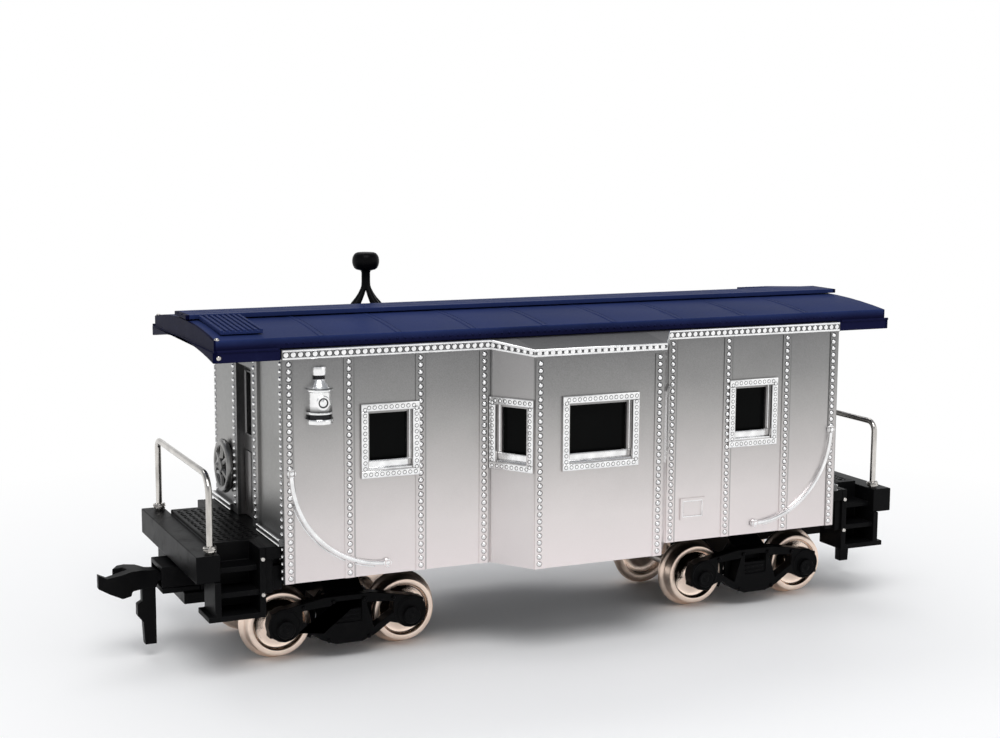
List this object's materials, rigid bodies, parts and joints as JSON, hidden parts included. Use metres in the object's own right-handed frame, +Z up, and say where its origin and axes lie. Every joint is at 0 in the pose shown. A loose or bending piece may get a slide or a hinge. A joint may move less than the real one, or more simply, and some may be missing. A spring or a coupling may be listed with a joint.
{
  "type": "model caboose",
  "caption": "HO scale toy caboose with bay windows, riveted silver body, arched blue roof over two railed platforms, swivelling trucks, metal wheels and hook couplers",
  "frame": {"origin": "Middle of the car, at the lowest point of the wheel flanges", "axes": "+X along the car, toward the end at the right of the picture; -Y toward the side that the picture shows; +Z up"},
  "size_m": [0.1382, 0.0492, 0.0578],
  "materials": {
    "silver_plastic": "silver-coated moulding, satin",
    "blue_plastic": "navy moulding, satin",
    "black_plastic": "black moulding, half matt",
    "dark_panes": "near black glossy panes",
    "ballast_steel": "plain steel plate",
    "bright_wire": "bright drawn wire",
    "axle_steel": "turned steel",
    "wheel_metal": "turned warm nickel-coloured metal"
  },
  "bodies": {
    "car": {"body_shell": "silver_plastic", "glazing_near": "dark_panes", "glazing_far": "dark_panes", "glazing_ends": "dark_panes", "roof": "blue_plastic", "roofwalk": "blue_plastic", "roof_grating_left": "blue_plastic", "roof_grating_right": "blue_plastic", "smoke_jack": "black_plastic", "underframe": "black_plastic", "steps_left_near": "black_plastic", "steps_left_far": "black_plastic", "steps_right_near": "black_plastic", "steps_right_far": "black_plastic", "ballast_weight": "ballast_steel", "railing_left": "bright_wire", "railing_right": "bright_wire", "kingpin_1": "black_plastic", "kingpin_2": "black_plastic"},
    "truck_1": {"truck_frame_1": "black_plastic", "coupler_lid_1": "black_plastic"},
    "truck_2": {"truck_frame_2": "black_plastic", "coupler_lid_2": "black_plastic"},
    "coupler_1": {"coupler_1": "black_plastic"},
    "coupler_2": {"coupler_2": "black_plastic"},
    "wheelset_1": {"axle_1": "axle_steel", "wheel_1_near": "wheel_metal", "wheel_1_far": "wheel_metal"},
    "wheelset_2": {"axle_2": "axle_steel", "wheel_2_near": "wheel_metal", "wheel_2_far": "wheel_metal"},
    "wheelset_3": {"axle_3": "axle_steel", "wheel_3_near": "wheel_metal", "wheel_3_far": "wheel_metal"},
    "wheelset_4": {"axle_4": "axle_steel", "wheel_4_near": "wheel_metal", "wheel_4_far": "wheel_metal"}
  },
  "joints": [
    {"name": "truck_1_swivel", "type": "hinge", "parent": "car", "child": "truck_1", "pos_m": [-0.03495, 0, 0.0131], "axis": [0, 0, 1], "range_deg": [-8, 8]},
    {"name": "truck_2_swivel", "type": "hinge", "parent": "car", "child": "truck_2", "pos_m": [0.03495, 0, 0.0131], "axis": [0, 0, 1], "range_deg": [-8, 8]},
    {"name": "coupler_1_swing", "type": "hinge", "parent": "truck_1", "child": "coupler_1", "pos_m": [-0.0572, 0, 0.0122], "axis": [0, 0, 1], "range_deg": [-8, 8]},
    {"name": "coupler_2_swing", "type": "hinge", "parent": "truck_2", "child": "coupler_2", "pos_m": [0.0572, 0, 0.0122], "axis": [0, 0, 1], "range_deg": [-8, 8]},
    {"name": "wheelset_1_roll", "type": "hinge", "parent": "truck_1", "child": "wheelset_1", "pos_m": [-0.0446, 0, 0.00555], "axis": [0, 1, 0], "continuous": true},
    {"name": "wheelset_2_roll", "type": "hinge", "parent": "truck_1", "child": "wheelset_2", "pos_m": [-0.0253, 0, 0.00555], "axis": [0, 1, 0], "continuous": true},
    {"name": "wheelset_3_roll", "type": "hinge", "parent": "truck_2", "child": "wheelset_3", "pos_m": [0.0253, 0, 0.00555], "axis": [0, 1, 0], "continuous": true},
    {"name": "wheelset_4_roll", "type": "hinge", "parent": "truck_2", "child": "wheelset_4", "pos_m": [0.0446, 0, 0.00555], "axis": [0, 1, 0], "continuous": true}
  ]
}
